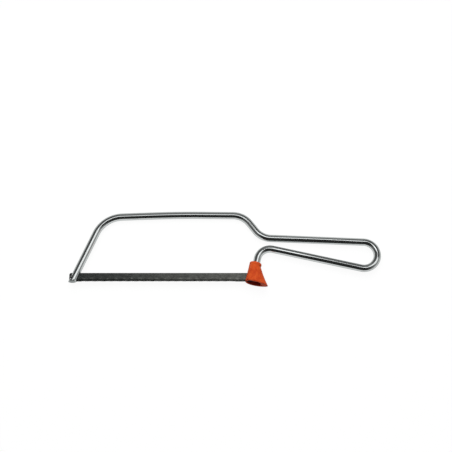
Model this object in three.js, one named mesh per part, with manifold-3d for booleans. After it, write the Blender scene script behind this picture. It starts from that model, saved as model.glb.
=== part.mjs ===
// Junior hacksaw: a sprung frame bent from one steel rod, a pin-ended blade and a moulded sleeve.
// Millimetres, +Z up. The saw lies on its side: the blade runs along X with the handle at +X,
// the teeth face -Y and the rail is at +Y. Sizes are set out from the front pin's centre.
import * as THREE from "three";
import { mergeVertices } from "three/addons/utils/BufferGeometryUtils.js";
import Module from "manifold-3d";

// Blade
const pinPitch = 147.9; // centre to centre of the two blade pins
const bladeDepth = 6.9; // back edge to tooth tips
const bladeThickness = 0.65;
const bladeTail = 1.7; // blade past each pin's centre
const bladeCornerRadius = 1.4;
const bladeCornerSteps = 4;
const toothPitch = 0.8; // about 32 teeth to the inch
const toothHeight = 0.45;
const toothBackLength = 0.68; // sloping back of a tooth, the rest of the pitch is its cutting face
const plainFront = 8; // untoothed length behind the front pin
const plainRear = 12.9; // untoothed length before the rear pin
const setStripDepth = 2.4; // tooth tips to the line where the wavy set starts
const setThrow = 0.22; // sideways throw of the set at the tooth tips
const teethPerWave = 8;

// Blade pins
const pinDiameter = 2.4;
const pinLength = 5.2;
const pinSides = 24;
const pinHoleClearance = 0.05;

// Frame rod, heights and radii on its centreline
const rodDiameter = 5.7;
const rodSides = 16;
const bendStep = 8; // degrees of bend per facet
const fewestBendSteps = 3;
const frontLegLean = 23; // degrees off square to the blade
const frontBendRadius = 23.25;
const bowHeight = 52.05; // blade centreline to the rail's rear shoulder
const railRise = 1.2; // front shoulder below the rear shoulder
const railBow = 0.8; // how far the rail arches above a straight line
const railArchShare = 0.7; // part of the rail's length that is arched
const shoulderSetback = 20.1; // centre of the rear shoulder's bend in front of the rear pin
const shoulderRadius = 16.75;
const dropSlope = 52.5; // degrees below the rail
const dropFootRadius = 15.8;
const gripHeight = 32.55; // blade centreline to the foot of the drop
const loopReach = 84; // rear pin to the centre of the handle's end bend
const loopHeight = 18.4; // blade centreline to the same centre
const loopRadius = 11;
const neckGap = 3.25; // clear gap where the handle's two runs come closest
const rearBendRadius = 10.3;
const rearLegLean = 12; // degrees off square to the blade
const frontFootDrop = 3.75; // blade centreline to the front leg's cut end
const rearFootDrop = 2.4; // the same to the rear leg's, up inside the sleeve

// Blade anchors in the two legs
const frontSeatBite = 1.9; // how deep the front pin sits below the rod's surface
const rearSeatBite = 0.25;
const seatClearance = 0.15;
const slotClearance = 0.2; // on each side of the blade
const slotHeadroom = 0.5; // over the blade's back

// Sleeve on the rear leg, heights along the leg from the rear pin's seat
const sleeveTop = 10.95;
const sleeveMouth = 5.4; // below the seat
const mouthTilt = -0.7; // degrees off square to the leg
const sleeveWall = 1.6; // on the hollow's blade side
const hollowClearance = 0.5; // round the blade's end and its pin
const sleeveSides = 32;
const flareSteps = 6;
const boreClearance = 0.3;
const collarHeight = 2.2;
const collarRound = 0.6;
const collarLip = 0.4; // the collar stands proud of the flare below it
const collarReach = 3.85; // leg's axis to the collar's handle side
const collarDepth = 10.4; // across the saw
const mouthReach = 12.55; // leg's axis to the mouth's handle side
const mouthDepth = 13.2; // across the saw
const mouthEgg = 0.25; // how much fuller the mouth is at the leg than at its handle side
const collarFront = 5.25; // leg's axis to the collar's blade side
const mouthFront = 5.9; // leg's axis to the mouth's blade side
const frontHollow = 0.2; // hollow of the sleeve's blade side
const flareHollow = 0.6; // hollow of the sleeve's handle side
const sleeveSlotClearance = 0.3; // round the blade

const wasm = await Module();
wasm.setup();

const rodRadius = rodDiameter / 2;
const pinRadius = pinDiameter / 2;
const cutReach = 4 * rodDiameter; // cutters run this far past what they cut
const frontLean = THREE.MathUtils.degToRad(frontLegLean);
const rearLean = THREE.MathUtils.degToRad(rearLegLean);

// Pin centre to leg centreline: each pin sits on the outer face of its leg
const frontSeatOffset = rodRadius + pinRadius - frontSeatBite;
const rearSeatOffset = rodRadius + pinRadius - rearSeatBite;

const backLine = bladeDepth / 2;
const tipLine = -bladeDepth / 2;
const setLine = tipLine + setStripDepth;
const gulletLine = tipLine + toothHeight;
const waveLength = teethPerWave * toothPitch;
const waveCount = Math.floor((pinPitch - plainFront - plainRear) / waveLength);
const toothCount = waveCount * teethPerWave;
const toothedEnd = plainFront + toothCount * toothPitch;

// A closed geometry as a solid for cutting
function toSolid(geometry) {
  const bare = geometry.clone();
  bare.deleteAttribute("normal");
  bare.deleteAttribute("uv");
  const welded = mergeVertices(bare);
  const mesh = new wasm.Mesh({
    numProp: 3,
    vertProperties: new Float32Array(welded.attributes.position.array),
    triVerts: new Uint32Array(welded.index.array),
  });
  mesh.merge();
  return new wasm.Manifold(mesh);
}

// A cut solid as a geometry again
function toGeometry(solid) {
  const mesh = solid.getMesh();
  const geometry = new THREE.BufferGeometry();
  geometry.setAttribute("position", new THREE.BufferAttribute(mesh.vertProperties, 3));
  geometry.setIndex(new THREE.BufferAttribute(mesh.triVerts, 1));
  geometry.computeVertexNormals();
  return geometry;
}

// A round bar across the saw
function crossBar(radius, length, x, y) {
  const bar = new THREE.CylinderGeometry(radius, radius, length, pinSides);
  bar.rotateX(Math.PI / 2);
  bar.translate(x, y, 0);
  return bar;
}

// A box between two corners, centred on the saw's plane
function slabBetween(x0, y0, x1, y1, thickness) {
  const slab = new THREE.BoxGeometry(x1 - x0, y1 - y0, thickness);
  slab.translate((x0 + x1) / 2, (y0 + y1) / 2, 0);
  return slab;
}

// Where the rod's centreline touches a peg when it runs at a heading
function touchPoint(peg, heading) {
  const away = peg.side * peg.radius;
  return new THREE.Vector2(peg.x + away * Math.sin(heading), peg.y - away * Math.cos(heading));
}

// Heading of the straight run that touches two pegs
function headingBetween(from, to) {
  const dx = to.x - from.x;
  const dy = to.y - from.y;
  const across = to.side * to.radius - from.side * from.radius;
  return Math.atan2(dy, dx) - Math.asin(across / Math.hypot(dx, dy));
}

// A bend's peg at a given height beside a leaning leg, set off across the leg from its pin
function pegBesideLeg(pinX, lean, across, height) {
  const along = (height + Math.sin(lean) * across) / Math.cos(lean);
  return { x: pinX + Math.cos(lean) * across + Math.sin(lean) * along, y: height };
}

// Pegs of the bending jig, from the front pin to the rear pin: side 1 has the peg on the rod's left
function bendingJig() {
  const frontSeat = { x: 0, y: 0, radius: frontSeatOffset, side: 1 };
  const frontCentre = bowHeight - railRise - frontBendRadius;
  const frontBend = {
    ...pegBesideLeg(0, frontLean, frontSeatOffset + frontBendRadius, frontCentre),
    radius: frontBendRadius,
    side: -1,
  };
  const shoulder = {
    x: pinPitch - shoulderSetback,
    y: bowHeight - shoulderRadius,
    radius: shoulderRadius,
    side: -1,
  };

  const railHeading = headingBetween(frontBend, shoulder);
  const railStart = touchPoint(frontBend, railHeading);
  const railEnd = touchPoint(shoulder, railHeading);
  const halfRail = railStart.distanceTo(railEnd) / 2;
  const archRadius = (railArchShare * halfRail * halfRail) / (2 * railBow);
  const archDepth = archRadius - railBow;
  const arch = {
    x: (railStart.x + railEnd.x) / 2 + archDepth * Math.sin(railHeading),
    y: (railStart.y + railEnd.y) / 2 - archDepth * Math.cos(railHeading),
    radius: archRadius,
    side: -1,
  };

  const slope = THREE.MathUtils.degToRad(dropSlope);
  const dropCentre = gripHeight + dropFootRadius;
  const dropAcross = shoulderRadius + dropFootRadius;
  const dropRun = (shoulder.y + dropAcross * Math.cos(slope) - dropCentre) / Math.sin(slope);
  const dropFoot = {
    x: shoulder.x + dropAcross * Math.sin(slope) + dropRun * Math.cos(slope),
    y: dropCentre,
    radius: dropFootRadius,
    side: 1,
  };

  const loop = { x: pinPitch + loopReach, y: loopHeight, radius: loopRadius, side: -1 };
  const rearCentre = gripHeight - rodDiameter - neckGap - rearBendRadius;
  const rearBend = {
    ...pegBesideLeg(pinPitch, rearLean, rearBendRadius - rearSeatOffset, rearCentre),
    radius: rearBendRadius,
    side: 1,
  };
  const rearSeat = { x: pinPitch, y: 0, radius: rearSeatOffset, side: 1 };
  return [frontSeat, frontBend, arch, shoulder, dropFoot, loop, rearBend, rearSeat];
}

// Stations along the centreline: both ends of every straight run and even steps round every bend
function rodStations() {
  const pegs = bendingJig();
  const headings = pegs.slice(1).map((peg, i) => headingBetween(pegs[i], peg));
  const stations = [];
  const addStation = (point, heading) => stations.push({ point, heading });

  const footHeading = headings[0];
  const footBack = new THREE.Vector2(Math.cos(footHeading), Math.sin(footHeading));
  const frontRun = -frontFootDrop - rodDiameter;
  addStation(touchPoint(pegs[0], footHeading).addScaledVector(footBack, frontRun), footHeading);

  for (let i = 1; i < pegs.length - 1; i += 1) {
    const peg = pegs[i];
    const fullTurn = 2 * Math.PI * peg.side;
    const turn = (headings[i] - headings[i - 1] + 2 * fullTurn) % fullTurn;
    const turnDegrees = THREE.MathUtils.radToDeg(Math.abs(turn));
    const steps = Math.max(fewestBendSteps, Math.round(turnDegrees / bendStep));
    for (let k = 0; k <= steps; k += 1) {
      const heading = headings[i - 1] + (turn * k) / steps;
      addStation(touchPoint(peg, heading), heading);
    }
  }

  const lastHeading = headings[headings.length - 1];
  const footOn = new THREE.Vector2(Math.cos(lastHeading), Math.sin(lastHeading));
  const lastPeg = pegs[pegs.length - 1];
  const rearRun = rearFootDrop + rodDiameter;
  addStation(touchPoint(lastPeg, lastHeading).addScaledVector(footOn, rearRun), lastHeading);
  return stations;
}

// The rod's centreline as a curve that is sampled at its stations only
class RodLine extends THREE.Curve {
  constructor(stations) {
    super();
    this.stations = stations;
  }

  stationAt(t) {
    return this.stations[Math.round(t * (this.stations.length - 1))];
  }

  getPointAt(t) {
    const { point } = this.stationAt(t);
    return new THREE.Vector3(point.x, point.y, 0);
  }

  getTangentAt(t) {
    const { heading } = this.stationAt(t);
    return new THREE.Vector3(Math.cos(heading), Math.sin(heading), 0);
  }
}

// The round section, with one flat facing straight down
function rodSection() {
  const corners = [];
  for (let i = 0; i < rodSides; i += 1) {
    const angle = ((i + 0.5) * 2 * Math.PI) / rodSides;
    corners.push(new THREE.Vector2(rodRadius * Math.cos(angle), rodRadius * Math.sin(angle)));
  }
  return new THREE.Shape(corners);
}

// A leg's own frame: X across the leg to the handle, Y up the leg, origin beside the pin
function legFrame(pinX, lean, offset) {
  const matrix = new THREE.Matrix4().makeRotationZ(-lean);
  matrix.setPosition(pinX + offset * Math.cos(lean), -offset * Math.sin(lean), 0);
  return matrix;
}

// Cuts for one blade anchor: the blade's slot up the leg and the pin's seat across it
function anchorCuts(pinX, lean, offset) {
  const frame = legFrame(pinX, lean, offset);
  const clearBack = backLine + slotHeadroom + Math.sin(lean) * (rodRadius + offset);
  const slotTop = clearBack / Math.cos(lean);
  const slotWidth = bladeThickness + 2 * slotClearance;
  const slot = slabBetween(-rodDiameter, -cutReach, rodDiameter, slotTop, slotWidth);

  const seatRadius = pinRadius + seatClearance;
  const seat = crossBar(seatRadius, cutReach, -offset, 0);
  const outward = -offset - Math.sign(offset) * rodDiameter;
  const mouthX = [Math.min(outward, -offset), Math.max(outward, -offset)];
  const seatMouth = slabBetween(mouthX[0], -seatRadius, mouthX[1], seatRadius, cutReach);
  return [slot, seat, seatMouth].map((cut) => toSolid(cut.applyMatrix4(frame)));
}

function frameRodGeometry() {
  const stations = rodStations();
  let rod = toSolid(new THREE.ExtrudeGeometry(rodSection(), {
    steps: stations.length - 1,
    extrudePath: new RodLine(stations),
  }));
  const footCut = (pinX, drop) => (
    slabBetween(pinX - cutReach, -drop - cutReach, pinX + cutReach, -drop, cutReach)
  );
  const cuts = [
    toSolid(footCut(0, frontFootDrop)),
    toSolid(footCut(pinPitch, rearFootDrop)),
    ...anchorCuts(0, frontLean, frontSeatOffset),
    ...anchorCuts(pinPitch, rearLean, -rearSeatOffset),
  ];
  for (const cut of cuts) {
    rod = rod.subtract(cut);
  }
  return toGeometry(rod);
}

// A rounded corner of the blade's outline
function cornerArc(x, y, from) {
  const arc = new THREE.EllipseCurve(x, y, bladeCornerRadius, bladeCornerRadius, from, from + Math.PI / 2);
  return arc.getPoints(bladeCornerSteps);
}

// Tooth edge from front to rear: the cutting faces look forward, away from the handle
function toothEdge() {
  const edge = [new THREE.Vector2(plainFront, tipLine)];
  for (let i = 0; i < toothCount; i += 1) {
    const start = plainFront + i * toothPitch;
    edge.push(new THREE.Vector2(start + toothBackLength, gulletLine));
    edge.push(new THREE.Vector2(start + toothPitch, tipLine));
  }
  return edge;
}

// Sideways throw of the wavy set: none above the set line, most at the tooth tips
function setOffset(point) {
  if (point.y > setLine || point.x < plainFront || point.x > toothedEnd) {
    return 0;
  }
  const share = (setLine - point.y) / setStripDepth;
  return setThrow * share * Math.sin((2 * Math.PI * (point.x - plainFront)) / waveLength);
}

// The blade as a sheet: a flat body, a strip of set teeth and a rim all round
function bladeGeometry() {
  const low = tipLine + bladeCornerRadius;
  const high = backLine - bladeCornerRadius;
  const frontX = bladeCornerRadius - bladeTail;
  const rearX = pinPitch + bladeTail - bladeCornerRadius;
  const edge = toothEdge();
  const foldLine = [];
  for (let i = 0; i <= 2 * waveCount; i += 1) {
    foldLine.push(new THREE.Vector2(plainFront + (i * waveLength) / 2, setLine));
  }
  const ends = [
    ...cornerArc(rearX, low, -Math.PI / 2),
    ...cornerArc(rearX, high, 0),
    ...cornerArc(frontX, high, Math.PI / 2),
    ...cornerArc(frontX, low, Math.PI),
  ];
  const body = [...ends, edge[0], ...foldLine, edge[edge.length - 1]];
  const strip = [...edge, ...foldLine.slice().reverse()];
  const rim = [...ends, ...edge];

  const corners = [];
  const addCorner = (point, face) => {
    corners.push(point.x, point.y, (face * bladeThickness) / 2 + setOffset(point));
  };
  for (const sheet of [body, strip]) {
    for (const [a, b, c] of THREE.ShapeUtils.triangulateShape(sheet, [])) {
      [sheet[a], sheet[b], sheet[c]].forEach((point) => addCorner(point, 1));
      [sheet[c], sheet[b], sheet[a]].forEach((point) => addCorner(point, -1));
    }
  }
  rim.forEach((point, i) => {
    const next = rim[(i + 1) % rim.length];
    addCorner(point, -1);
    addCorner(next, -1);
    addCorner(next, 1);
    addCorner(point, -1);
    addCorner(next, 1);
    addCorner(point, 1);
  });
  const sheetGeometry = new THREE.BufferGeometry();
  sheetGeometry.setAttribute("position", new THREE.Float32BufferAttribute(corners, 3));

  let blade = toSolid(sheetGeometry);
  const holeRadius = pinRadius + pinHoleClearance;
  for (const x of [0, pinPitch]) {
    blade = blade.subtract(toSolid(crossBar(holeRadius, cutReach, x, 0)));
  }
  return toGeometry(blade);
}

// One ring of the sleeve in the leg's frame: oval at the collar, egg-shaped and lifted at the mouth
function sleeveRing(height, front, back, depth, flareShare) {
  const lift = Math.tan(THREE.MathUtils.degToRad(mouthTilt)) * flareShare;
  const ring = [];
  for (let i = 0; i < sleeveSides; i += 1) {
    const angle = (2 * Math.PI * i) / sleeveSides;
    const across = (front + back) / 2 + ((back - front) / 2) * Math.cos(angle);
    const fullness = 1 - mouthEgg * flareShare * Math.cos(angle);
    const aside = (depth / 2) * Math.sin(angle) * fullness;
    ring.push(new THREE.Vector3(across, height + lift * across, aside));
  }
  return ring;
}

// A closed solid through a stack of rings, listed from the top down
function loftRings(rings) {
  const corners = [];
  const addTriangle = (...points) => points.forEach((point) => corners.push(point.x, point.y, point.z));
  const centreOf = (ring) => {
    const sum = ring.reduce((total, point) => total.add(point), new THREE.Vector3());
    return sum.divideScalar(ring.length);
  };
  const top = rings[0];
  const bottom = rings[rings.length - 1];
  for (let i = 0; i < sleeveSides; i += 1) {
    const j = (i + 1) % sleeveSides;
    addTriangle(centreOf(top), top[j], top[i]);
    addTriangle(centreOf(bottom), bottom[i], bottom[j]);
    for (let k = 0; k + 1 < rings.length; k += 1) {
      const upper = rings[k];
      const lower = rings[k + 1];
      addTriangle(upper[i], upper[j], lower[j]);
      addTriangle(upper[i], lower[j], lower[i]);
    }
  }
  const geometry = new THREE.BufferGeometry();
  geometry.setAttribute("position", new THREE.Float32BufferAttribute(corners, 3));
  return geometry;
}

// The sleeve in the rear leg's frame: a flared moulding, bored for the rod and hollowed for the blade's end
function sleeveGeometry() {
  const collarFoot = sleeveTop - collarHeight;
  const frontAt = (height) => {
    const share = (sleeveTop - height) / (sleeveTop + sleeveMouth);
    return 4 * frontHollow * share * (1 - share) - THREE.MathUtils.lerp(collarFront, mouthFront, share);
  };
  const flare = new THREE.QuadraticBezierCurve(
    new THREE.Vector2(collarReach, collarFoot),
    new THREE.Vector2(
      (collarReach + mouthReach) / 2 - flareHollow,
      (collarFoot - sleeveMouth) / 2 - flareHollow,
    ),
    new THREE.Vector2(mouthReach, -sleeveMouth),
  );
  const collarRing = (height, inset) => sleeveRing(
    height,
    frontAt(height) + inset,
    collarReach + collarLip - inset,
    collarDepth + collarLip - 2 * inset,
    0,
  );
  const rings = [
    collarRing(sleeveTop, collarRound),
    collarRing(sleeveTop - collarRound, 0),
    collarRing(collarFoot + collarRound, 0),
  ];
  for (let i = 0; i <= flareSteps; i += 1) {
    const share = i / flareSteps;
    const back = flare.getPoint(share);
    const depth = THREE.MathUtils.lerp(collarDepth, mouthDepth, share);
    rings.push(sleeveRing(back.y, frontAt(back.y), back.x, depth, share));
  }

  const boreRadius = rodRadius + boreClearance;
  const bore = new THREE.CylinderGeometry(boreRadius, boreRadius, 2 * (sleeveTop + cutReach), sleeveSides);

  // The hollow ends over the pin, and its handle side stands square to the blade, whose end drops straight out
  const hollowTop = pinRadius + hollowClearance;
  const hollowBack = (height) => (
    rearSeatOffset + bladeTail + hollowClearance - Math.tan(rearLean) * height
  );
  const hollowProfile = new THREE.Shape([
    new THREE.Vector2(frontAt(hollowTop) + sleeveWall, hollowTop),
    new THREE.Vector2(frontAt(-sleeveMouth) + sleeveWall, -sleeveMouth),
    new THREE.Vector2(frontAt(-sleeveMouth) + sleeveWall, -cutReach),
    new THREE.Vector2(hollowBack(-sleeveMouth), -cutReach),
    new THREE.Vector2(hollowBack(-sleeveMouth), -sleeveMouth),
    new THREE.Vector2(hollowBack(hollowTop), hollowTop),
  ]);
  const hollowWidth = pinLength + 2 * hollowClearance;
  const hollow = new THREE.ExtrudeGeometry(hollowProfile, { depth: hollowWidth, bevelEnabled: false });
  hollow.translate(0, 0, -hollowWidth / 2);

  const slotWidth = bladeThickness + 2 * (setThrow + sleeveSlotClearance);
  const slotTop = backLine + sleeveSlotClearance;
  const slotFront = -rearSeatOffset - cutReach;
  const slotBack = bladeTail + sleeveSlotClearance;
  const bladeSlot = slabBetween(slotFront, -cutReach, slotBack, slotTop, slotWidth);
  bladeSlot.rotateZ(rearLean);
  bladeSlot.translate(rearSeatOffset, 0, 0);

  let sleeve = toSolid(loftRings(rings));
  for (const cut of [bore, hollow, bladeSlot]) {
    sleeve = sleeve.subtract(toSolid(cut));
  }
  return toGeometry(sleeve);
}

const platedSteel = new THREE.MeshStandardMaterial({ color: 0xc9cccf, roughness: 0.15, metalness: 1 });
const bladeSteel = new THREE.MeshStandardMaterial({ color: 0x53565a, roughness: 0.45, metalness: 0.8 });
const pinSteel = new THREE.MeshStandardMaterial({ color: 0x8e9194, roughness: 0.35, metalness: 1 });
const orangePlastic = new THREE.MeshStandardMaterial({ color: 0xd2492a, roughness: 0.5, metalness: 0 });

function named(name, geometry, material) {
  const mesh = new THREE.Mesh(geometry, material);
  mesh.name = name;
  return mesh;
}

const saw = new THREE.Group();
saw.add(named("frame_rod", frameRodGeometry(), platedSteel));
saw.add(named("blade", bladeGeometry(), bladeSteel));

const frontPin = named("front_pin", crossBar(pinRadius, pinLength, 0, 0), pinSteel);
const rearPin = named("rear_pin", crossBar(pinRadius, pinLength, 0, 0), pinSteel);
rearPin.position.x = pinPitch;
saw.add(frontPin, rearPin);

const rearLeg = new THREE.Group();
rearLeg.applyMatrix4(legFrame(pinPitch, rearLean, -rearSeatOffset));
rearLeg.add(named("sleeve", sleeveGeometry(), orangePlastic));
saw.add(rearLeg);

// The origin goes to the middle of the saw's outline, on the plane it lies on
const extent = new THREE.Box3().setFromObject(saw, true);
const middle = extent.getCenter(new THREE.Vector3());
saw.position.set(-middle.x, -middle.y, -extent.min.z);

const group = new THREE.Group();
group.add(saw);

export default group;
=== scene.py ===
import math

import bmesh
import bpy
from mathutils import Matrix, Vector


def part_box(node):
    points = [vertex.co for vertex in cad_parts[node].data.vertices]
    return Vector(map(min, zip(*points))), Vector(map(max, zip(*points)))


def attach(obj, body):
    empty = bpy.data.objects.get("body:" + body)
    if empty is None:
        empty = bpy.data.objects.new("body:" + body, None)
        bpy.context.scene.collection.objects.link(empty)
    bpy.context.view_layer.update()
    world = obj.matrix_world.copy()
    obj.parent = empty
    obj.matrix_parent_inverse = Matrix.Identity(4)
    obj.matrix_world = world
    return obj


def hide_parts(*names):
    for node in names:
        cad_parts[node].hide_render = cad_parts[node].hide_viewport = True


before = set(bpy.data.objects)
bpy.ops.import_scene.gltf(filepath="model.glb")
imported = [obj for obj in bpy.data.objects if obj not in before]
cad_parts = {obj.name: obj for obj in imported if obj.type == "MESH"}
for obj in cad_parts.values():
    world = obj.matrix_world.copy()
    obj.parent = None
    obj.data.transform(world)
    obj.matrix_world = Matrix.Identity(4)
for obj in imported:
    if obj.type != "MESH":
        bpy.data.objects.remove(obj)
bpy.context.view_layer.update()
print("frame loaded:", len(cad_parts), "nodes")

scene = bpy.context.scene
scene.view_settings.view_transform = "Standard"

mm = 0.001
pinLow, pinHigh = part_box("front_pin")
frontPin = (pinLow + pinHigh) / 2  # the saw's pieces are set out from here, in mm
sawFrame = Matrix.Translation(frontPin) @ Matrix.Scale(mm, 4)

meshing = {"weld": 0.002, "edgeSegments": 2, "barSides": 48}  # weld in mm
noiseRoughness = 0.55


def legFrame(pinX, leanDegrees, offset):  # X across the leg to the handle, Y up the leg
    lean = math.radians(leanDegrees)
    place = Matrix.Translation((pinX + offset * math.cos(lean), -offset * math.sin(lean), 0))
    return place @ Matrix.Rotation(-lean, 4, "Z")


def ease(value, low, high):  # 0 below low, 1 above high
    share = min(max((value - low) / (high - low), 0.0), 1.0)
    return share * share * (3 - 2 * share)


def fade(value, low, high):  # 1 below low, 0 above high
    return 1 - ease(value, low, high)


def between(first, second, share):
    return first + (second - first) * share


def ringAngles(around, offset=0.0):
    return [2 * math.pi * (i + offset) / around for i in range(around)]


def quarterTurns(steps):
    return [math.pi / 2 * k / steps for k in range(steps + 1)]


def meshPiece(name, points, faces, place=sawFrame):
    mesh = bpy.data.meshes.new(name)
    mesh.from_pydata([place @ Vector(point) for point in points], [], faces)
    mesh.update()
    piece = bpy.data.objects.new(name, mesh)
    scene.collection.objects.link(piece)
    return piece


def storeGrain(piece, name, vectors):  # a piece's own unrolled coordinates, for its finish
    layer = piece.data.attributes.new(name, "FLOAT_VECTOR", "POINT")
    layer.data.foreach_set("vector", [value for vector in vectors for value in vector])


def ringFaces(ringCount, around, closed=False):  # quads between rings of equal size
    faces = []
    for ring in range(ringCount if closed else ringCount - 1):
        low, high = ring * around, ((ring + 1) % ringCount) * around
        for i in range(around):
            j = (i + 1) % around
            faces.append((low + i, low + j, high + j, high + i))
    return faces


def cappedFaces(ringCount, around):  # the same, with a face over each end
    faces = ringFaces(ringCount, around)
    last = (ringCount - 1) * around
    faces.append(tuple(reversed(range(around))))
    faces.append(tuple(range(last, last + around)))
    return faces


def boxCutter(name, low, high, place):
    corners = [(x, y, z) for z in (low[2], high[2]) for y in (low[1], high[1]) for x in (low[0], high[0])]
    sides = [(0, 2, 3, 1), (4, 5, 7, 6), (0, 1, 5, 4), (2, 6, 7, 3), (0, 4, 6, 2), (1, 3, 7, 5)]
    return meshPiece(name, corners, sides, place)


def barCutter(name, radius, halfLength, x, y, place):
    points = []
    for z in (-halfLength, halfLength):
        for angle in ringAngles(meshing["barSides"]):
            points.append((x + radius * math.cos(angle), y + radius * math.sin(angle), z))
    return meshPiece(name, points, cappedFaces(2, meshing["barSides"]), place)


def faceOutward(piece):
    work = bmesh.new()
    work.from_mesh(piece.data)
    bmesh.ops.recalc_face_normals(work, faces=work.faces)
    work.to_mesh(piece.data)
    work.free()


def cutAway(piece, cutters):
    for cutter in cutters:
        faceOutward(cutter)
        step = piece.modifiers.new("cut", "BOOLEAN")
        step.operation = "DIFFERENCE"
        step.solver = "EXACT"
        step.object = cutter
        bakeModifiers(piece)
        bpy.data.objects.remove(cutter)


def bakeModifiers(piece):
    shaped = piece.evaluated_get(bpy.context.evaluated_depsgraph_get())
    baked = bpy.data.meshes.new_from_object(shaped)
    piece.modifiers.clear()
    old = piece.data
    piece.data = baked
    baked.name = piece.name
    bpy.data.meshes.remove(old)


def roundEdges(piece, width, fromAngle):
    weld = meshing["weld"] * mm
    work = bmesh.new()
    work.from_mesh(piece.data)
    bmesh.ops.remove_doubles(work, verts=work.verts, dist=weld)
    bmesh.ops.dissolve_degenerate(work, edges=work.edges, dist=weld)
    work.to_mesh(piece.data)
    work.free()
    edge = piece.modifiers.new("edge", "BEVEL")
    edge.width = width * mm
    edge.segments = meshing["edgeSegments"]
    edge.limit_method = "ANGLE"
    edge.angle_limit = math.radians(fromAngle)
    edge.use_clamp_overlap = True
    bakeModifiers(piece)


def smoothShade(piece, sharpAngle):
    mesh = piece.data
    mesh.polygons.foreach_set("use_smooth", [True] * len(mesh.polygons))
    mesh.set_sharp_from_angle(angle=math.radians(sharpAngle))


def newFinish(name):
    finish = bpy.data.materials.new(name)
    finish.use_nodes = True
    tree = finish.node_tree
    return finish, tree, tree.nodes["Principled BSDF"]


def bareFinish(name):  # without Blender's starting nodes
    finish, tree, shader = newFinish(name)
    tree.nodes.clear()
    return finish, tree


def addNode(tree, kind, **settings):
    node = tree.nodes.new(kind)
    for key, value in settings.items():
        if key in node.inputs:
            node.inputs[key].default_value = value
        else:
            setattr(node, key, value)
    return node


def grainOf(tree, name):
    return addNode(tree, "ShaderNodeAttribute", attribute_name=name).outputs["Vector"]


def noiseOn(tree, source, pattern):
    mapping = addNode(tree, "ShaderNodeMapping", Scale=pattern["stretch"])
    tree.links.new(source, mapping.inputs["Vector"])
    detail = pattern["detail"]
    noise = addNode(tree, "ShaderNodeTexNoise", Scale=1.0, Detail=detail, Roughness=noiseRoughness)
    tree.links.new(mapping.outputs["Vector"], noise.inputs["Vector"])
    return noise.outputs["Fac"]


def rampOn(tree, source, stops):
    ramp = addNode(tree, "ShaderNodeValToRGB")
    ramp.color_ramp.interpolation = "EASE"
    points = ramp.color_ramp.elements
    for index, (place, tone) in enumerate(stops):
        stop = points[index] if index < 2 else points.new(place)  # a new ramp has two stops
        stop.position = place
        stop.color = (*tone, 1) if isinstance(tone, tuple) else (tone, tone, tone, 1)
    tree.links.new(source, ramp.inputs["Fac"])
    return ramp.outputs["Color"]


def mixColours(tree, factor, first, second, blend="MIX"):
    mix = addNode(tree, "ShaderNodeMix", data_type="RGBA", blend_type=blend)
    sockets = (mix.inputs["Factor"], mix.inputs[6], mix.inputs[7])  # 6 and 7 take colours
    for socket, value in zip(sockets, (factor, first, second)):
        if isinstance(value, bpy.types.NodeSocket):
            tree.links.new(value, socket)
        else:
            socket.default_value = (*value, 1) if isinstance(value, tuple) else value
    return mix.outputs[2]


def shadeBy(tree, colour, pattern, layer):  # darkens and lightens a colour by a pattern
    return mixColours(tree, layer["share"], colour, rampOn(tree, pattern, layer["stops"]), "MULTIPLY")


def mathOn(tree, operation, first, second=None):
    node = addNode(tree, "ShaderNodeMath", operation=operation)
    for socket, value in zip(node.inputs, (first, second)):
        if isinstance(value, bpy.types.NodeSocket):
            tree.links.new(value, socket)
        elif value is not None:
            socket.default_value = value
    return node.outputs["Value"]


def rangeOn(tree, source, fromSpan, toSpan, kind="LINEAR"):
    node = addNode(tree, "ShaderNodeMapRange", interpolation_type=kind)
    for name, value in zip(("From Min", "From Max", "To Min", "To Max"), (*fromSpan, *toSpan)):
        node.inputs[name].default_value = value
    tree.links.new(source, node.inputs["Value"])
    return node.outputs["Result"]


def bumpOn(tree, height, bump, under=None):
    node = addNode(tree, "ShaderNodeBump", Strength=bump["strength"], Distance=bump["distance"])
    tree.links.new(height, node.inputs["Height"])
    if under is not None:
        tree.links.new(under, node.inputs["Normal"])
    return node.outputs["Normal"]


rodSizes = {
    "diameter": 5.7,
    "around": 48,
    "bendStep": 2.5,  # degrees
    "fewestSteps": 6,
    "longestStep": 4.0,
    "frontFoot": 3.75,  # blade line to each cut end
    "rearFoot": 2.4,
    "overrun": 9.0,  # cut off again at the feet
    "footReach": 20,
    "footDepth": 10,
    "edge": 0.22,
    "edgeFrom": 50,  # degrees
    "sharpFrom": 35,
    # x, y, radius and side of each bending peg, from the front pin to the rear one
    "pegs": [
        (0, 0, 2.15, 1),
        (39.3091, 27.6, 23.25, -1),
        (94.9055, -806.0138, 858.3407, -1),
        (127.8, 35.3, 16.75, -1),
        (158.8148, 48.35, 15.8, 1),
        (231.9, 18.4, 11, -1),
        (157.3722, 13.3, 10.3, 1),
        (147.9, 0, 3.8, 1),
    ],
}
anchorSizes = {
    "slotWidth": 1.05,
    "slotReach": 6,
    "slotDepth": 20,
    "headroom": 0.5,
    "seatRadius": 1.35,
    "seatHalf": 8,  # the seat's cutters pass right through the rod
    "front": (0, 23, 2.15),  # pin, lean and set-off of each leg
    "rear": (147.9, 12, -3.8),
    "bladeHalf": 3.45,
}


def pegHeading(near, far):
    dx, dy = far[0] - near[0], far[1] - near[1]
    across = far[3] * far[2] - near[3] * near[2]
    return math.atan2(dy, dx) - math.asin(across / math.hypot(dx, dy))


def pegTouch(peg, heading):
    away = peg[3] * peg[2]
    return Vector((peg[0] + away * math.sin(heading), peg[1] - away * math.cos(heading), 0))


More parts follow.
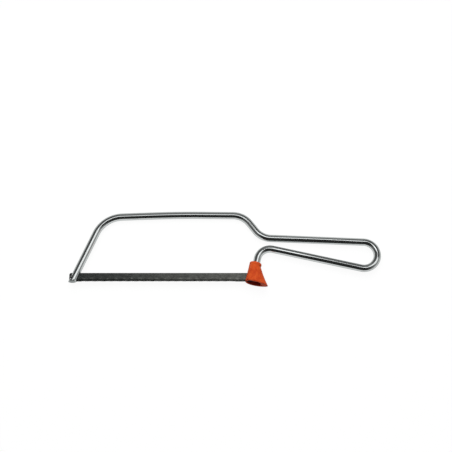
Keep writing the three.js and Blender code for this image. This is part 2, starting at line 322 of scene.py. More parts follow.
def rodStations():  # point and heading of each ring of the rod
    pegs = rodSizes["pegs"]
    headings = [pegHeading(a, b) for a, b in zip(pegs, pegs[1:])]
    along = [Vector((math.cos(h), math.sin(h), 0)) for h in headings]
    marks = [(pegTouch(pegs[0], headings[0]) - along[0] * rodSizes["overrun"], headings[0])]
    for i in range(1, len(pegs) - 1):
        whole = 2 * math.pi * pegs[i][3]
        turn = math.fmod(headings[i] - headings[i - 1] + 2 * whole, whole)
        steps = max(rodSizes["fewestSteps"], round(math.degrees(abs(turn)) / rodSizes["bendStep"]))
        for k in range(steps + 1):
            heading = headings[i - 1] + turn * k / steps
            marks.append((pegTouch(pegs[i], heading), heading))
    marks.append((pegTouch(pegs[-1], headings[-1]) + along[-1] * rodSizes["overrun"], headings[-1]))
    stations = [marks[0]]
    for point, heading in marks[1:]:
        start = stations[-1][0]
        cuts = math.ceil((point - start).length / rodSizes["longestStep"])
        for k in range(1, cuts):
            stations.append((start.lerp(point, k / cuts), heading))
        stations.append((point, heading))
    return stations


def anchorCutters(pinX, lean, offset):  # the blade's slot, the pin's seat and its open side
    size = anchorSizes
    place = sawFrame @ legFrame(pinX, lean, offset)
    radius = rodSizes["diameter"] / 2
    tilt = math.radians(lean)
    rise = size["bladeHalf"] + size["headroom"] + math.sin(tilt) * (radius + offset)
    top = rise / math.cos(tilt)
    half, reach, depth = size["slotWidth"] / 2, size["slotReach"], size["slotDepth"]
    seat, seatHalf = size["seatRadius"], size["seatHalf"]
    out = -offset - math.copysign(reach, offset)
    left, right = min(out, -offset), max(out, -offset)
    return [
        boxCutter("bladeSlot", (-reach, -depth, -half), (reach, top, half), place),
        barCutter("pinSeat", seat, seatHalf, -offset, 0, place),
        boxCutter("seatMouth", (left, -seat, -seatHalf), (right, seat, seatHalf), place),
    ]


def footCutter(pinX, drop):
    reach, depth = rodSizes["footReach"], rodSizes["footDepth"]
    return boxCutter("foot", (pinX - reach, -drop - reach, -depth), (pinX + reach, -drop, depth), sawFrame)


def makeRod():
    stations = rodStations()
    around, radius = rodSizes["around"], rodSizes["diameter"] / 2
    points, grain, run = [], [], 0.0
    for index, (centre, heading) in enumerate(stations):
        if index:
            run += (centre - stations[index - 1][0]).length
        side = Vector((-math.sin(heading), math.cos(heading), 0))
        for angle in ringAngles(around, 0.5):
            across, rise = radius * math.cos(angle), radius * math.sin(angle)
            points.append(centre + side * across + Vector((0, 0, rise)))
            grain.append((run * mm, across * mm, rise * mm))
    rod = meshPiece("rod_frame", points, cappedFaces(len(stations), around))
    storeGrain(rod, "rodGrain", grain)
    faceOutward(rod)
    cutters = []
    for leg, drop in (("front", rodSizes["frontFoot"]), ("rear", rodSizes["rearFoot"])):
        cutters.append(footCutter(anchorSizes[leg][0], drop))
        cutters += anchorCutters(*anchorSizes[leg])
    cutAway(rod, cutters)
    roundEdges(rod, rodSizes["edge"], rodSizes["edgeFrom"])
    smoothShade(rod, rodSizes["sharpFrom"])
    return rod


platedLook = {
    "bright": (0.58, 0.605, 0.60),
    "dull": (0.52, 0.545, 0.54),
    "dullTo": 0.3,  # share of the clouds
    "brightFrom": 0.62,
    "edgeTint": (0.28, 0.30, 0.29),  # reflection at grazing angles
    "roughness": (0.06, 0.095),
    "roughMix": 0.5,  # draw lines to clouds
    "drawLines": {"stretch": (18, 2600, 2600), "detail": 2},  # per metre, drawn along the rod
    "clouds": {"stretch": (45, 190, 190), "detail": 4},
    "specks": {"stretch": (1500, 1500, 1500), "detail": 2},
    "wear": {"stops": [(0.63, 1.0), (0.78, 0.62)], "share": 0.2},
    "relief": {"strength": 0.008, "distance": 0.00002},
}


def platedFinish():
    look = platedLook
    finish, tree, shader = newFinish("bright_plate")
    grain = grainOf(tree, "rodGrain")
    lines = noiseOn(tree, grain, look["drawLines"])
    clouds = noiseOn(tree, grain, look["clouds"])
    specks = noiseOn(tree, grain, look["specks"])
    tone = rampOn(tree, clouds, [(look["dullTo"], look["dull"]), (look["brightFrom"], look["bright"])])
    tree.links.new(shadeBy(tree, tone, specks, look["wear"]), shader.inputs["Base Color"])
    rough = mixColours(tree, look["roughMix"], lines, clouds)
    tree.links.new(rangeOn(tree, rough, (0, 1), look["roughness"]), shader.inputs["Roughness"])
    tree.links.new(bumpOn(tree, lines, look["relief"]), shader.inputs["Normal"])
    shader.inputs["Metallic"].default_value = 1.0
    shader.inputs["Specular Tint"].default_value = (*look["edgeTint"], 1)
    return finish


rod = makeRod()
rod.data.materials.clear()
rod.data.materials.append(platedFinish())
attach(rod, "frame")
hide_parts("frame_rod")
print("rod bent:", len(rod.data.polygons), "faces")


bladeSizes = {
    "pinPitch": 147.9,
    "depth": 6.9,
    "thickness": 0.65,
    "tail": 1.7,  # past each pin
    "corner": 1.4,
    "cornerSteps": 8,
    "toothPitch": 0.8,
    "toothHeight": 0.45,
    "toothBack": 0.68,
    "plainFront": 8,  # whole mm, with a column at each
    "plainRear": 12.9,
    "plainRearSteps": 10,
    "setStrip": 2.4,
    "setThrow": 0.22,
    "teethPerWave": 8,
    "edge": 0.09,
    "holeRadius": 1.25,
    "holeHalf": 4,  # the hole's cutter passes right through the blade
    "sharpFrom": 24,  # degrees
}


def bladeColumns():  # x, tooth edge and back edge of each column, front to rear
    size = bladeSizes
    half, corner = size["depth"] / 2, size["corner"]
    first, last = -size["tail"], size["pinPitch"] + size["tail"]
    wave = size["teethPerWave"] * size["toothPitch"]
    waves = math.floor((size["pinPitch"] - size["plainFront"] - size["plainRear"]) / wave)
    rounded = []
    for turn in quarterTurns(size["cornerSteps"]):
        rounded.append((corner - corner * math.cos(turn), half - corner + corner * math.sin(turn)))
    columns = [(first + inward, -reach, reach) for inward, reach in rounded]
    columns += [(x, -half, half) for x in range(1, size["plainFront"] + 1)]
    for tooth in range(waves * size["teethPerWave"]):
        start = size["plainFront"] + tooth * size["toothPitch"]
        columns.append((start + size["toothBack"] / 2, -half + size["toothHeight"] / 2, half))
        columns.append((start + size["toothBack"], -half + size["toothHeight"], half))
        columns.append((start + size["toothPitch"], -half, half))
    toothEnd = size["plainFront"] + waves * wave
    steps = size["plainRearSteps"]
    columns += [(between(toothEnd, last - corner, k / steps), -half, half) for k in range(1, steps)]
    columns += [(last - inward, -reach, reach) for inward, reach in reversed(rounded)]
    return columns, toothEnd, wave


def makeBlade():
    size = bladeSizes
    columns, toothEnd, wave = bladeColumns()
    half, thin, edge = size["depth"] / 2, size["thickness"] / 2, size["edge"]
    setLine = -half + size["setStrip"]
    points, grain = [], []
    for x, low, high in columns:
        foldLine = min(max(setLine, low + edge), high - 2 * edge)
        rows = [(high, thin - edge), (high - edge, thin), (foldLine, thin)]
        rows += [((2 * foldLine + low) / 3, thin), ((foldLine + 2 * low) / 3, thin), (low, thin)]
        loop = rows + [(y, -z) for y, z in reversed(rows)]
        swing = 0.0
        if size["plainFront"] < x < toothEnd:
            swing = size["setThrow"] * math.sin(2 * math.pi * (x - size["plainFront"]) / wave)
        for y, z in loop:
            share = max(0.0, (setLine - y) / size["setStrip"])
            points.append((x, y, z + swing * share))
            grain.append((x * mm, y * mm, z * mm))
    blade = meshPiece("saw_blade", points, cappedFaces(len(columns), len(loop)))
    storeGrain(blade, "bladeGrain", grain)
    faceOutward(blade)
    for x in (0, size["pinPitch"]):
        cutAway(blade, [barCutter("hole", size["holeRadius"], size["holeHalf"], x, 0, sawFrame)])
    smoothShade(blade, size["sharpFrom"])
    return blade


bladeLook = {
    "dark": (0.058, 0.064, 0.062),
    "light": (0.158, 0.161, 0.149),
    "rubbed": (0.30, 0.30, 0.285),
    "edgeTint": (0.12, 0.12, 0.12),  # reflection at grazing angles
    "metallic": 0.85,
    "roughness": (0.34, 0.52),
    "roughMix": 0.5,  # mill lines to clouds
    "millLines": {"stretch": (60, 5200, 900), "detail": 2},
    "clouds": {"stretch": (240, 420, 420), "detail": 4},
    "grit": {"stretch": (2600, 2600, 2600), "detail": 2},
    # painted reflection shade, dark to light from the front pin to the rear one
    "paintedReflectionShade": [(0.0, 0.0), (0.2, 0.14), (0.6, 0.62), (0.9, 0.95), (1.0, 0.7)],
    "mottle": {"stops": [(0.25, 0.62), (0.75, 1.25)], "share": 0.75},
    "lining": {"stops": [(0.25, 0.72), (0.75, 1.2)], "share": 0.55},
    "speckle": {"stops": [(0.3, 0.75), (0.7, 1.2)], "share": 0.4},
    "toothShade": {  # from the teeth to the back
        "stops": [(0.0, 0.12), (0.05, 0.36), (0.2, 0.5), (0.34, 1.0), (0.88, 1.0), (1.0, 0.5)],
        "share": 1.0,
    },
    "rubStrip": [(0.0, 0.04), (0.02, 0.12), (0.07, 0.0)],
    "rubPatches": {"stops": [(0.3, 0.3), (0.7, 1.0)], "share": 1.0},
    "crest": [(0.0, 0.0), (0.75, 1.0)],  # painted highlight on the crests of the wavy set
    "crestStrip": [(0.18, 0.0), (0.3, 1.0), (0.36, 1.0), (0.52, 0.0)],
    "crestPatches": [(0.36, 0.0), (0.6, 0.42)],
    "reliefMix": 0.35,  # mill lines to grit
    "relief": {"strength": 0.25, "distance": 0.00003},
}


def crestPaintedHighlight(tree, axes, depth, clouds):  # painted highlight where the set bulges outward, just above the teeth
    wave = bladeSizes["teethPerWave"] * bladeSizes["toothPitch"] * mm
    start = mathOn(tree, "SUBTRACT", axes.outputs["X"], bladeSizes["plainFront"] * mm)
    swing = mathOn(tree, "SINE", mathOn(tree, "MULTIPLY", start, 2 * math.pi / wave))
    outward = mathOn(tree, "MULTIPLY", swing, mathOn(tree, "SIGN", axes.outputs["Z"]))
    crest = rampOn(tree, outward, bladeLook["crest"])
    strip = rampOn(tree, depth, bladeLook["crestStrip"])
    patches = rampOn(tree, clouds, bladeLook["crestPatches"])
    return mathOn(tree, "MULTIPLY", mathOn(tree, "MULTIPLY", crest, strip), patches)


def bladeFinish():
    look = bladeLook
    finish, tree, shader = newFinish("dark_blade_steel")
    grain = grainOf(tree, "bladeGrain")
    lines = noiseOn(tree, grain, look["millLines"])
    clouds = noiseOn(tree, grain, look["clouds"])
    grit = noiseOn(tree, grain, look["grit"])
    axes = addNode(tree, "ShaderNodeSeparateXYZ")
    tree.links.new(grain, axes.inputs["Vector"])
    halfDepth = bladeSizes["depth"] / 2 * mm
    along = rangeOn(tree, axes.outputs["X"], (0, bladeSizes["pinPitch"] * mm), (0, 1))
    depth = rangeOn(tree, axes.outputs["Y"], (-halfDepth, halfDepth), (0, 1))

    # painted reflection shade: the blade darker at the front, lighter towards the rear
    colour = mixColours(tree, rampOn(tree, along, look["paintedReflectionShade"]), look["dark"], look["light"])
    colour = shadeBy(tree, colour, clouds, look["mottle"])
    colour = shadeBy(tree, colour, lines, look["lining"])
    colour = shadeBy(tree, colour, grit, look["speckle"])
    colour = shadeBy(tree, colour, depth, look["toothShade"])
    # painted highlight added on the set's crests
    colour = mixColours(tree, crestPaintedHighlight(tree, axes, depth, clouds), colour, look["light"], "ADD")
    rubbed = shadeBy(tree, rampOn(tree, depth, look["rubStrip"]), clouds, look["rubPatches"])
    colour = mixColours(tree, rubbed, colour, look["rubbed"])
    tree.links.new(colour, shader.inputs["Base Color"])
    rough = mixColours(tree, look["roughMix"], lines, clouds)
    tree.links.new(rangeOn(tree, rough, (0, 1), look["roughness"]), shader.inputs["Roughness"])
    relief = mixColours(tree, look["reliefMix"], lines, grit)
    tree.links.new(bumpOn(tree, relief, look["relief"]), shader.inputs["Normal"])
    shader.inputs["Metallic"].default_value = look["metallic"]
    shader.inputs["Specular Tint"].default_value = (*look["edgeTint"], 1)
    return finish


blade = makeBlade()
blade.data.materials.clear()
blade.data.materials.append(bladeFinish())
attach(blade, "blade_set")
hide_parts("blade")
print("blade toothed:", len(blade.data.polygons), "faces")


pinSizes = {
    "radius": 1.2,
    "halfLength": 2.6,
    "around": 40,
    "dome": 0.42,  # height of the rounded end
    "domeSteps": 6,
    "flatShare": 0.55,  # of the radius, where the rounding starts
    "tipShare": 0.3,
    "tipRise": 0.01,
    "grainTurn": 0.4,  # mm for each radian round the pin
    "sharpFrom": 40,  # degrees
}


def makePin(name, x):
    size = pinSizes
    around, flat, end = size["around"], size["flatShare"], size["halfLength"]
    profile = [(size["radius"] * size["tipShare"], end)]
    for turn in quarterTurns(size["domeSteps"]):
        radius = size["radius"] * between(flat, 1, math.sin(turn))
        profile.append((radius, end - size["dome"] * (1 - math.cos(turn))))
    side = profile + [(radius, -z) for radius, z in reversed(profile)]
    points, grain = [], []
    for radius, z in side:
        for angle in ringAngles(around):
            points.append((x + radius * math.cos(angle), radius * math.sin(angle), z))
            grain.append((radius * mm, angle * size["grainTurn"] * mm, z * mm))
    for z in (end + size["tipRise"], -end - size["tipRise"]):
        points.append((x, 0, z))
        grain.append((0, 0, z * mm))
    faces = ringFaces(len(side), around)
    last, tip = (len(side) - 1) * around, len(side) * around
    for i in range(around):
        j = (i + 1) % around
        faces.append((tip, j, i))
        faces.append((tip + 1, last + i, last + j))
    pin = meshPiece(name, points, faces)
    storeGrain(pin, "pinGrain", grain)
    faceOutward(pin)
    smoothShade(pin, size["sharpFrom"])
    return pin


pinLook = {
    "metal": (0.36, 0.37, 0.365),
    "stain": (0.13, 0.13, 0.125),
    "roughness": (0.28, 0.45),
    "turned": {"stretch": (6500, 300, 900), "detail": 2},
    "clouds": {"stretch": (900, 900, 900), "detail": 3},
    "staining": [(0.35, 0.0), (0.7, 1.0)],  # stain to metal
    "rings": {"stops": [(0.3, 0.7), (0.7, 1.2)], "share": 0.5},
    "relief": {"strength": 0.2, "distance": 0.00002},
}


def pinFinish():
    look = pinLook
    finish, tree, shader = newFinish("turned_pin_steel")
    grain = grainOf(tree, "pinGrain")
    turned = noiseOn(tree, grain, look["turned"])
    clouds = noiseOn(tree, grain, look["clouds"])
    tone = mixColours(tree, rampOn(tree, clouds, look["staining"]), look["stain"], look["metal"])
    tree.links.new(shadeBy(tree, tone, turned, look["rings"]), shader.inputs["Base Color"])
    tree.links.new(rangeOn(tree, turned, (0, 1), look["roughness"]), shader.inputs["Roughness"])
    tree.links.new(bumpOn(tree, turned, look["relief"]), shader.inputs["Normal"])
    shader.inputs["Metallic"].default_value = 1.0
    return finish


pinSteel = pinFinish()
pinPlan = [("pin_front", 0, "front_pin"), ("pin_rear", bladeSizes["pinPitch"], "rear_pin")]
for pinName, pinX, pinNode in pinPlan:
    pin = makePin(pinName, pinX)
    pin.data.materials.append(pinSteel)
    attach(pin, "blade_set")
    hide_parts(pinNode)
print("pins turned")


sleeveSizes = {
    "top": 10.95,
    "mouth": 5.4,  # below the pin's seat
    "mouthTilt": -0.7,
    "mouthReach": 12.55,
    "mouthDepth": 13.2,
    "mouthEgg": 0.25,
    "mouthFront": 5.9,
    "frontHollow": 0.2,
    "flareHollow": 0.6,
    "flareSteps": 22,
    "collarHeight": 2.2,
    "collarRound": 0.6,
    "collarLip": 0.4,
    "collarReach": 3.85,
    "collarDepth": 10.4,
    "collarFront": 5.25,
    "underShare": 0.45,  # of the collar's rounding, for its under edge
    "underInset": 0.08,
    "roundSteps": 4,
    "around": 96,
    "boreRadius": 3.15,
    "boreChamfer": 0.25,
    "chamferWiden": 1.08,
    "lip": 0.45,  # rounding of the mouth's rim
    "lipDrop": 0.2,
    "wall": 1.6,  # on the hollow's blade side
    "hollowTop": 1.7,  # just over the pin
    "hollowWidth": 6.2,
    "hollowBack": 6.0,  # at the pin's seat, square to the blade
    "hollowCorner": 1.1,
    "hollowPast": 6,  # how far its cutter passes the mouth
    "cornerSteps": 6,
    "leadTop": -1.2,  # below here the hollow widens to a round mouth
    "leadSteps": 5,
    "leadWidth": 10.8,
    "leadCorner": 4.2,
    "seam": 0.09,  # parting line of the mould
    "slotWidth": 1.69,
    "slotTop": 3.75,
    "slotBack": 2.0,  # past the pin
    "slotPast": 40,  # how far its cutter passes the sleeve
    "edge": 0.25,
    "edgeFrom": 60,  # degrees
    "sharpFrom": 40,
    "wallNear": 0.06,  # a point this close to an inner wall is on it
    "boreClear": 0.3,  # below the top
    "slotClear": 1,  # over the slot
    "darkFrom": 0.1,  # over the rim, where the walls turn dark with painted shade
    "darkTo": 0.7,
    "rimShade": 0.45,  # how far the rim takes the painted shade of the hollow, a painted shadow under the rim
    "rimHeight": 0.9,
}


def sleeveRing(height, front, back, depth, flareShare):
    size = sleeveSizes
    lift = math.tan(math.radians(size["mouthTilt"])) * flareShare
    ring = []
    for angle in ringAngles(size["around"]):
        across = (front + back) / 2 + (back - front) / 2 * math.cos(angle)
        fullness = 1 - size["mouthEgg"] * flareShare * math.cos(angle)
        ring.append(Vector((across, height + lift * across, depth / 2 * math.sin(angle) * fullness)))
    return ring


def sleeveFront(height):
    size = sleeveSizes
    share = (size["top"] - height) / (size["top"] + size["mouth"])
    reach = between(size["collarFront"], size["mouthFront"], share)
    return 4 * size["frontHollow"] * share * (1 - share) - reach


def flareAt(share, inset):
    size = sleeveSizes
    foot = size["top"] - size["collarHeight"]
    start = Vector((size["collarReach"], foot))
    bend = Vector((
        (size["collarReach"] + size["mouthReach"]) / 2 - size["flareHollow"],
        (foot - size["mouth"]) / 2 - size["flareHollow"],
    ))
    end = Vector((size["mouthReach"], -size["mouth"]))
    back = start * (1 - share) ** 2 + bend * 2 * share * (1 - share) + end * share ** 2
    depth = between(size["collarDepth"], size["mouthDepth"], share)
    return sleeveRing(back.y, sleeveFront(back.y) + inset, back.x - inset, depth - 2 * inset, share)


def collarAt(height, inset):
    size = sleeveSizes
    back = size["collarReach"] + size["collarLip"] - inset
    depth = size["collarDepth"] + size["collarLip"] - 2 * inset
    return sleeveRing(height, sleeveFront(height) + inset, back, depth, 0)


def boreAt(height, widen=1.0):
    radius = sleeveSizes["boreRadius"] * widen
    angles = ringAngles(sleeveSizes["around"])
    return [Vector((radius * math.cos(angle), height, radius * math.sin(angle))) for angle in angles]


def leadShare(height):
    size = sleeveSizes
    return min(max((size["leadTop"] - height) / (size["leadTop"] + size["mouth"]), 0.0), 1.0)


def hollowHalf(height):
    return between(sleeveSizes["hollowWidth"], sleeveSizes["leadWidth"], leadShare(height)) / 2


def hollowEnds(height):  # the hollow's wall on the blade's side and the one behind the pin
    size = sleeveSizes
    lean = math.radians(anchorSizes["rear"][1])
    return sleeveFront(height) + size["wall"], size["hollowBack"] - math.tan(lean) * height


def hollowRing(height, pastMouth=0.0):  # rounded oblong round the blade's end and its pin
    size = sleeveSizes
    corner = between(size["hollowCorner"], size["leadCorner"], leadShare(height))
    half = hollowHalf(height)
    front, back = hollowEnds(height)
    ring = []
    for turnX, turnZ, start in ((back, half, 0), (front, half, 90), (front, -half, 180), (back, -half, 270)):
        x = turnX - math.copysign(corner, turnX)
        z = turnZ - math.copysign(corner, turnZ)
        for turn in quarterTurns(size["cornerSteps"]):
            angle = math.radians(start) + turn
            point = (x + corner * math.cos(angle), height - pastMouth, z + corner * math.sin(angle))
            ring.append(Vector(point))
    return ring


def hollowCutter(place):
    size = sleeveSizes
    lead, mouth, steps = size["leadTop"], -size["mouth"], size["leadSteps"]
    rings = [hollowRing(size["hollowTop"])]
    rings += [hollowRing(between(lead, mouth, k / steps)) for k in range(steps + 1)]
    rings.append(hollowRing(mouth, size["hollowPast"]))
    points = [point for ring in rings for point in ring]
    return meshPiece("hollow", points, cappedFaces(len(rings), len(rings[0])), place)


def paintedShadeAt(point):  # share of painted shade: 1 on the walls of the hollow and of the bore, less on the rim, 0 outside
    size = sleeveSizes
    near, aside = size["wallNear"], abs(point.z)
    front, back = hollowEnds(point.y)
    inBore = math.hypot(point.x, point.z) < size["boreRadius"] + near
    inBore = inBore and point.y < size["top"] - size["boreClear"]
    inSlot = aside < size["slotWidth"] / 2 + near and front < point.x < back
    inSlot = inSlot and point.y < size["slotTop"] + size["slotClear"]
    inHollow = aside < hollowHalf(point.y) + near and front - near < point.x < back + near
    inHollow = inHollow and point.y < size["hollowTop"] + near
    rise = point.y + size["mouth"] - math.tan(math.radians(size["mouthTilt"])) * point.x
    rim = size["rimShade"] * fade(rise, 0, size["rimHeight"])
    if inBore or inSlot or inHollow:
        return max(rim, ease(rise, size["darkFrom"], size["darkTo"]))
    return rim


def sleeveRings():  # up the bore, over the collar, down the flare and in under the rim
    size = sleeveSizes
    top, rounding, lip = size["top"], size["collarRound"], size["lip"]
    foot = top - size["collarHeight"]
    quarter = quarterTurns(size["roundSteps"])
    inner = [boreAt(-size["mouth"]), boreAt(top - size["boreChamfer"]), boreAt(top, size["chamferWiden"])]
    outer = []
    for turn in quarter:
        outer.append(collarAt(top - rounding * (1 - math.cos(turn)), rounding * (1 - math.sin(turn))))
    outer.append(collarAt(foot + rounding, 0))
    outer.append(collarAt(foot + rounding * size["underShare"], size["underInset"]))
    for k in range(size["flareSteps"] + 1):
        outer.append(flareAt(k / size["flareSteps"], 0))
    for ring in outer:
        ring[0].x += size["seam"]
        ring[size["around"] // 2].x -= size["seam"]
    rims = []
    for turn in quarter[1:]:
        down = Vector((0, -size["lipDrop"] * math.sin(turn), 0))
        rims.append([point + down for point in flareAt(1, lip * (1 - math.cos(turn)))])
    return inner + outer + rims


def makeSleeve():
    size = sleeveSizes
    rings = sleeveRings()
    points = [point for ring in rings for point in ring]
    pinX, lean, offset = anchorSizes["rear"]
    place = sawFrame @ legFrame(pinX, lean, offset)
    sleeve = meshPiece("orange_sleeve", points, ringFaces(len(rings), size["around"], closed=True), place)
    faceOutward(sleeve)
    half, past = size["slotWidth"] / 2, size["slotPast"]
    atPin = sawFrame @ Matrix.Translation((pinX, 0, 0))
    slot = boxCutter("slot", (-past, -past, -half), (size["slotBack"], size["slotTop"], half), atPin)
    cutAway(sleeve, [hollowCutter(place), slot])
    roundEdges(sleeve, size["edge"], size["edgeFrom"])
    smoothShade(sleeve, size["sharpFrom"])
    toLeg = place.inverted()
    onLeg = [toLeg @ vertex.co for vertex in sleeve.data.vertices]
    storeGrain(sleeve, "sleeveGrain", [point * mm for point in onLeg])
    # share of painted shade at each point
    paintedShade = sleeve.data.attributes.new("sleevePaintedShade", "FLOAT", "POINT")
    paintedShade.data.foreach_set("value", [paintedShadeAt(point) for point in onLeg])
    return sleeve


plasticLook = {
    "body": (0.508, 0.069, 0.0135),
    "deep": (0.412, 0.042, 0.0086),
    "pale": (0.558, 0.096, 0.0215),
    # painted shade colour for the hollow, the bore and the rim
    "inner": (0.15, 0.004, 0.001),
    "specular": 0.06,
    "roughness": (0.48, 0.64),
    "roughMix": 0.5,  # clouds to pebble
    "streaks": {"stretch": (900, 45, 900), "detail": 2},  # run up the sleeve
    "clouds": {"stretch": (260, 200, 260), "detail": 4},
    "pebble": {"stretch": (3200, 3200, 3200), "detail": 2},
    "clouding": [(0.3, 0.0), (0.6, 1.0)],  # deep to body
    "streaking": [(0.5, 0.0), (0.72, 0.6)],  # body to pale
    "streakRelief": {"strength": 0.12, "distance": 0.0001},
    "pebbleRelief": {"strength": 0.18, "distance": 0.00003},
}


def plasticFinish():
    look = plasticLook
    finish, tree, shader = newFinish("orange_moulded_plastic")
    grain = grainOf(tree, "sleeveGrain")
    streaks = noiseOn(tree, grain, look["streaks"])
    clouds = noiseOn(tree, grain, look["clouds"])
    pebble = noiseOn(tree, grain, look["pebble"])
    colour = mixColours(tree, rampOn(tree, clouds, look["clouding"]), look["deep"], look["body"])
    colour = mixColours(tree, rampOn(tree, streaks, look["streaking"]), colour, look["pale"])
    # painted shade: the hollow, the bore and the rim darkened towards this colour
    paintedShade = addNode(tree, "ShaderNodeAttribute", attribute_name="sleevePaintedShade").outputs["Fac"]
    tree.links.new(mixColours(tree, paintedShade, colour, look["inner"]), shader.inputs["Base Color"])
    rough = mixColours(tree, look["roughMix"], clouds, pebble)
    tree.links.new(rangeOn(tree, rough, (0, 1), look["roughness"]), shader.inputs["Roughness"])
    coarse = bumpOn(tree, streaks, look["streakRelief"])
    tree.links.new(bumpOn(tree, pebble, look["pebbleRelief"], coarse), shader.inputs["Normal"])
    shader.inputs["Specular IOR Level"].default_value = look["specular"]
    return finish


sleeve = makeSleeve()
sleeve.data.materials.clear()
sleeve.data.materials.append(plasticFinish())
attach(sleeve, "sleeve")
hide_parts("sleeve")
print("sleeve moulded:", len(sleeve.data.polygons), "faces")


# the saw lies on its rail and on the sleeve's rim, so the floor leans by that much
floorPlan = {
    "lean": 3.94,  # degrees
    "under": 1.96,  # height at the middle, in mm
    "half": 420,
    "paper": (0.9, 0.9, 0.9),
    "glow": 0.93,  # under the saw, so that its shadow stays
    "fade": (0.16, 0.36),  # metres from the middle, to plain white
}


def rayShare(tree):  # 1 where the camera, a reflection or a clear piece looks at the surface
    paths = addNode(tree, "ShaderNodeLightPath").outputs
    seen = mathOn(tree, "MAXIMUM", paths["Is Camera Ray"], paths["Is Glossy Ray"])
    return mathOn(tree, "MAXIMUM", seen, paths["Is Transmission Ray"])


def mixShaders(tree, factor, first, second, out):
    mix = addNode(tree, "ShaderNodeMixShader")
    tree.links.new(factor, mix.inputs["Fac"])
    tree.links.new(first, mix.inputs[1])
    tree.links.new(second, mix.inputs[2])
    tree.links.new(mix.outputs["Shader"], addNode(tree, out).inputs["Surface"])


def makeFloor():
    half = floorPlan["half"]
    corners = [(-half, -half, 0), (half, -half, 0), (half, half, 0), (-half, half, 0)]
    floor = meshPiece("floor", corners, [(0, 1, 2, 3)], Matrix.Scale(mm, 4))
    floor.rotation_euler = (math.radians(floorPlan["lean"]), 0, 0)
    floor.location = (0, 0, floorPlan["under"] * mm)
    finish, tree = bareFinish("white_sweep")
    paper = addNode(tree, "ShaderNodeBsdfDiffuse", Color=(*floorPlan["paper"], 1))
    glow = addNode(tree, "ShaderNodeEmission", Strength=1.0)
    place = addNode(tree, "ShaderNodeTexCoord")
    length = addNode(tree, "ShaderNodeVectorMath", operation="LENGTH")
    tree.links.new(place.outputs["Object"], length.inputs[0])
    spread = rangeOn(tree, length.outputs["Value"], floorPlan["fade"], (floorPlan["glow"], 1), "SMOOTHSTEP")
    share = mathOn(tree, "MULTIPLY", spread, rayShare(tree))
    mixShaders(tree, share, paper.outputs["BSDF"], glow.outputs["Emission"], "ShaderNodeOutputMaterial")
    floor.data.materials.append(finish)


makeFloor()
print("floor laid")


# a white room, a dome of reflection cards for the plated rod, and soft lamps
# angles are in degrees: across from overhead to the rail's side, along to the handle's end
softbox = {
    "near": 3,
    "far": 18.5,
    "edgeBlur": 0.9,
    "left": -15,
    "leftBlur": 4,
    "leftFrom": 5,  # from here leftward it hangs nearer
    "leftSlant": (0.18, 0.45),  # of its near and far edge
    "right": 42,
    "rightBlur": 6,
    "rightFrom": 6,
    "rightSlant": (0.3, 0.15),
    "tone": 1.95,
    "rightDim": 0.4,
    "dimSpan": (8, 30),
    "lift": 11,  # a short stretch hangs further back
    "liftStart": (4.5, 5.8),
    "liftEnd": (8.8, 10.4),
}
cards = {
    "back": 0.27,
    "backSides": 0.1,
    "backSpan": (6, 20),
    "gap": 0.05,  # dark strip between the softbox and the back card
    "gapSpan": (3, 12),
    "horizon": 0.32,
    "horizonSpan": (4, 16),
    "front": 0.03,
    "frontSides": 0.18,
    "frontSpan": (22, 42),
    "frontEnd": (-10, 6),
    "right": 0.42,
    "rightSpan": (40, 58),
    "rightCut": 0.6,
    "rightCutSpan": (18, 30),
}
studio = {
    "roomLight": 0.32,
    "domeRadius": 1.5,
    "domeRings": 90,
    "domeAround": 240,
    "domeFoot": 2,  # degrees over the horizon
    # name, place, size and watts of each lamp
    "lamps": [("overhead", (-0.1, 0.45, 1.1), 1.0, 16.0), ("fill", (0.6, -0.2, 1.0), 0.9, 2.0)],
}


def softboxEdges(along):
    box = softbox
    lift = box["lift"] * ease(along, *box["liftStart"]) * fade(along, *box["liftEnd"])
    leftward = max(box["leftFrom"] - along, 0)
    rightward = max(along - box["rightFrom"], 0)
    near = box["near"] + lift - box["rightSlant"][0] * rightward - box["leftSlant"][0] * leftward
    far = box["far"] + lift - box["rightSlant"][1] * rightward - box["leftSlant"][1] * leftward
    return near, far


def cardTone(direction):
    across = math.degrees(math.atan2(direction.y, direction.z))
    along = math.degrees(math.asin(max(-1.0, min(1.0, direction.x))))
    rise = math.degrees(math.asin(max(-1.0, min(1.0, direction.z))))
    box, blur = softbox, softbox["edgeBlur"]
    near, far = softboxEdges(along)
    gapFrom, gapTo = cards["gapSpan"]
    back = between(cards["back"], cards["backSides"], ease(abs(along), *cards["backSpan"]))
    back = between(cards["gap"], back, ease(across, far + gapFrom, far + gapTo))
    back = between(back, cards["horizon"], fade(rise, *cards["horizonSpan"]))
    sides = ease(abs(along), *cards["frontSpan"]) * fade(across, *cards["frontEnd"])
    front = between(cards["front"], cards["frontSides"], sides)
    pastNear = ease(across, near - blur, near + blur)
    tone = between(front, back, pastNear)
    rightKept = 1 - cards["rightCut"] * ease(across, *cards["rightCutSpan"])
    tone = between(tone, cards["right"], ease(along, *cards["rightSpan"]) * rightKept)
    inBox = pastNear * fade(across, far - blur, far + blur)
    inBox *= ease(along, box["left"] - box["leftBlur"], box["left"] + box["leftBlur"])
    inBox *= fade(along, box["right"] - box["rightBlur"], box["right"] + box["rightBlur"])
    boxTone = box["tone"] * (1 - box["rightDim"] * ease(along, *box["dimSpan"]))
    return between(tone, boxTone, inBox)


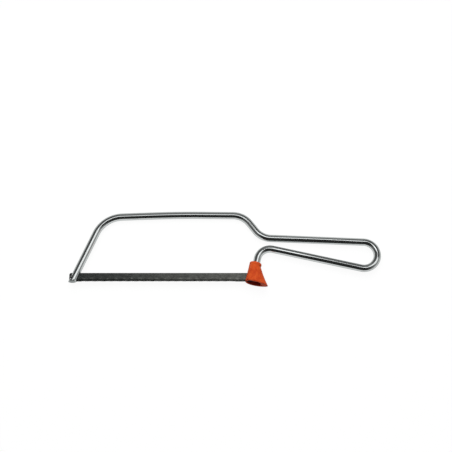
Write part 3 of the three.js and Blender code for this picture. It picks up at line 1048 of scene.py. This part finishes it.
def makeDome():
    rings, around, foot = studio["domeRings"], studio["domeAround"], studio["domeFoot"]
    points, tones = [], []
    for ring in range(rings + 1):
        rise = math.radians(between(foot, 90, ring / rings))
        level, height = math.cos(rise), math.sin(rise)
        for turn in ringAngles(around):
            direction = Vector((math.cos(turn) * level, math.sin(turn) * level, height))
            points.append(direction * studio["domeRadius"])
            tones.append(cardTone(direction))
    dome = meshPiece("reflection_cards", points, ringFaces(rings + 1, around), Matrix.Identity(4))
    layer = dome.data.attributes.new("cardTone", "FLOAT", "POINT")
    layer.data.foreach_set("value", tones)
    finish, tree = bareFinish("card_tones")
    tone = addNode(tree, "ShaderNodeAttribute", attribute_name="cardTone")
    glow = addNode(tree, "ShaderNodeEmission")
    out = addNode(tree, "ShaderNodeOutputMaterial")
    tree.links.new(tone.outputs["Fac"], glow.inputs["Strength"])
    tree.links.new(glow.outputs["Emission"], out.inputs["Surface"])
    dome.data.materials.append(finish)
    for ray in ("camera", "diffuse", "shadow", "transmission", "volume_scatter"):  # reflections alone see it
        setattr(dome, "visible_" + ray, False)


def makeRoom():
    world = bpy.data.worlds.new("white_room")
    scene.world = world
    world.use_nodes = True
    tree = world.node_tree
    tree.nodes.clear()
    white = (1, 1, 1, 1)
    lit = addNode(tree, "ShaderNodeBackground", Color=white, Strength=studio["roomLight"])
    seen = addNode(tree, "ShaderNodeBackground", Color=white, Strength=1.0)
    both = (lit.outputs["Background"], seen.outputs["Background"])
    mixShaders(tree, rayShare(tree), *both, "ShaderNodeOutputWorld")


def makeLamps():
    for name, place, size, watts in studio["lamps"]:
        lamp = bpy.data.lights.new(name, "AREA")
        lamp.size = size
        lamp.energy = watts
        holder = bpy.data.objects.new(name, lamp)
        holder.location = place
        holder.rotation_euler = (-Vector(place)).to_track_quat("-Z", "Y").to_euler()
        holder.visible_glossy = False
        scene.collection.objects.link(holder)


makeDome()
makeRoom()
makeLamps()
print("studio lit")


cameraPlan = {
    "lens": 80.65,
    "sensor": 36.0,
    "distance": 815.8,
    "tilt": 20.0,
    "aim": (122.28, 43.14, 0),
    "clip": (0.01, 20),  # metres
}


def makeCamera():
    lens = bpy.data.cameras.new("photo_camera")
    lens.lens = cameraPlan["lens"]
    lens.sensor_width = cameraPlan["sensor"]
    lens.clip_start, lens.clip_end = cameraPlan["clip"]
    camera = bpy.data.objects.new("photo_camera", lens)
    scene.collection.objects.link(camera)
    tilt = math.radians(cameraPlan["tilt"])
    aim = sawFrame @ Vector(cameraPlan["aim"])
    camera.location = aim + Vector((0, -math.sin(tilt), math.cos(tilt))) * cameraPlan["distance"] * mm
    camera.rotation_euler = (tilt, 0, 0)
    scene.camera = camera


makeCamera()
print("camera set")
